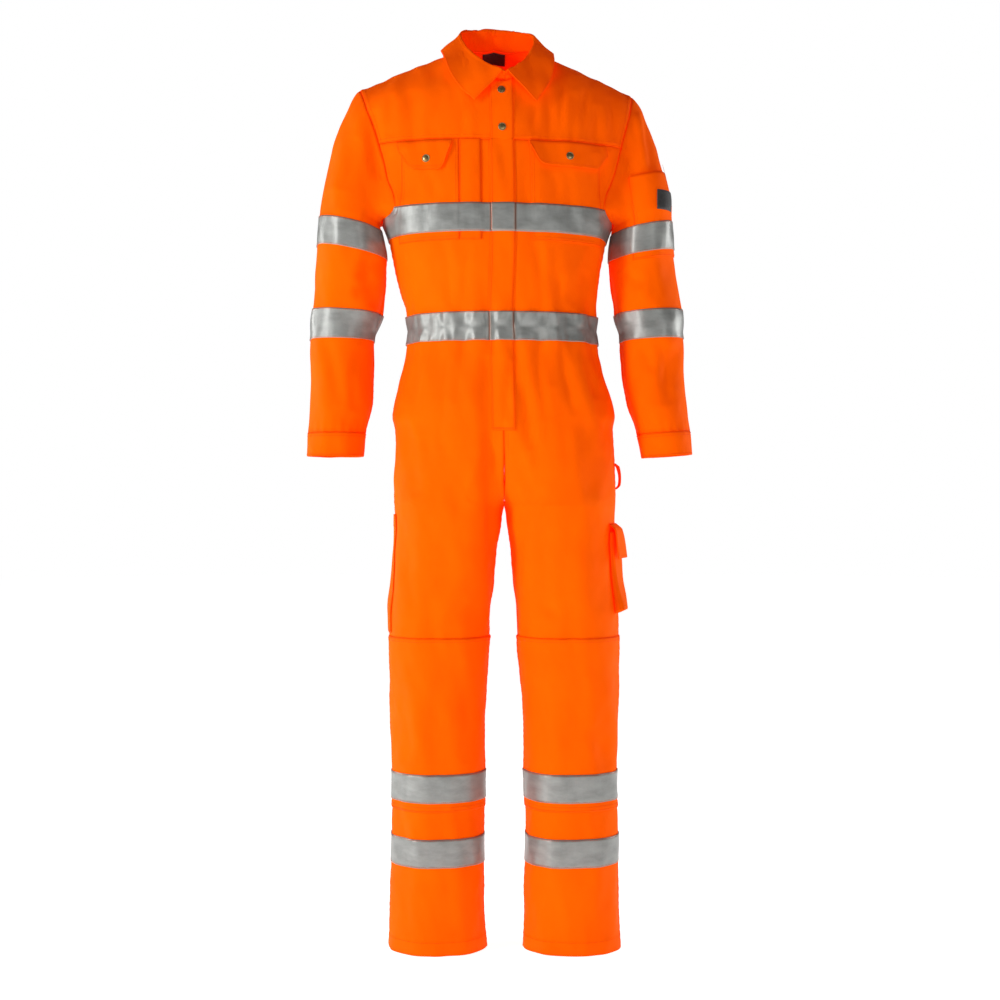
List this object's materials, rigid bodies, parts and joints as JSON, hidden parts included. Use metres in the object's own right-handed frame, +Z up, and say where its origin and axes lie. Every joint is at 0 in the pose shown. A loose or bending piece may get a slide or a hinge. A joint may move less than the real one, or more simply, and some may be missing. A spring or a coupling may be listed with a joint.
{
  "type": "boiler suit",
  "caption": "Hi-vis boiler suit in its worn shape, with a turned-down collar, studded front placket, chest, sleeve, thigh and knee pockets and reflective tapes.",
  "frame": {"origin": "the middle of the shoulders, on the shoulder line, where the wearer carries the suit", "axes": "+Z up, towards the collar; -Y out of the suit's front; +X towards the wearer's left sleeve"},
  "size_m": [0.6788, 0.273, 1.6495],
  "materials": {
    "orange_twill": "matte twill",
    "reflective_tape": "satin reflective",
    "label_weave": "matte woven",
    "antique_brass": "aged satin"
  },
  "bodies": {
    "root": {"bodice_back": "orange_twill", "bodice_front_left": "orange_twill", "bodice_front_right": "orange_twill", "chest_flap_left": "orange_twill", "chest_flap_right": "orange_twill", "chest_pocket_left": "orange_twill", "chest_pocket_right": "orange_twill", "chest_tape_back": "reflective_tape", "chest_tape_left": "reflective_tape", "chest_tape_placket": "reflective_tape", "chest_tape_right": "reflective_tape", "collar": "orange_twill", "cuff_left": "orange_twill", "cuff_right": "orange_twill", "knee_pocket_left": "orange_twill", "knee_pocket_right": "orange_twill", "leg_tape_lower_left": "reflective_tape", "leg_tape_lower_right": "reflective_tape", "leg_tape_upper_left": "reflective_tape", "leg_tape_upper_right": "reflective_tape", "neck_label": "label_weave", "pen_pocket": "orange_twill", "placket": "orange_twill", "ruler_pocket": "orange_twill", "sleeve_label": "label_weave", "sleeve_left": "orange_twill", "sleeve_pocket": "orange_twill", "sleeve_right": "orange_twill", "sleeve_tape_lower_left": "reflective_tape", "sleeve_tape_lower_right": "reflective_tape", "sleeve_tape_upper_left": "reflective_tape", "sleeve_tape_upper_right": "reflective_tape", "stud_chest": "antique_brass", "stud_flap_left": "antique_brass", "stud_flap_right": "antique_brass", "stud_neck": "antique_brass", "thigh_loop": "orange_twill", "thigh_pocket": "orange_twill", "thigh_pocket_flap": "orange_twill", "trouser_back_left": "orange_twill", "trouser_back_right": "orange_twill", "trouser_front_left": "orange_twill", "trouser_front_right": "orange_twill", "waist_tape_back": "reflective_tape", "waist_tape_left": "reflective_tape", "waist_tape_placket": "reflective_tape", "waist_tape_right": "reflective_tape", "yoke_back": "orange_twill", "yoke_front_left": "orange_twill", "yoke_front_right": "orange_twill"}
  },
  "joints": []
}
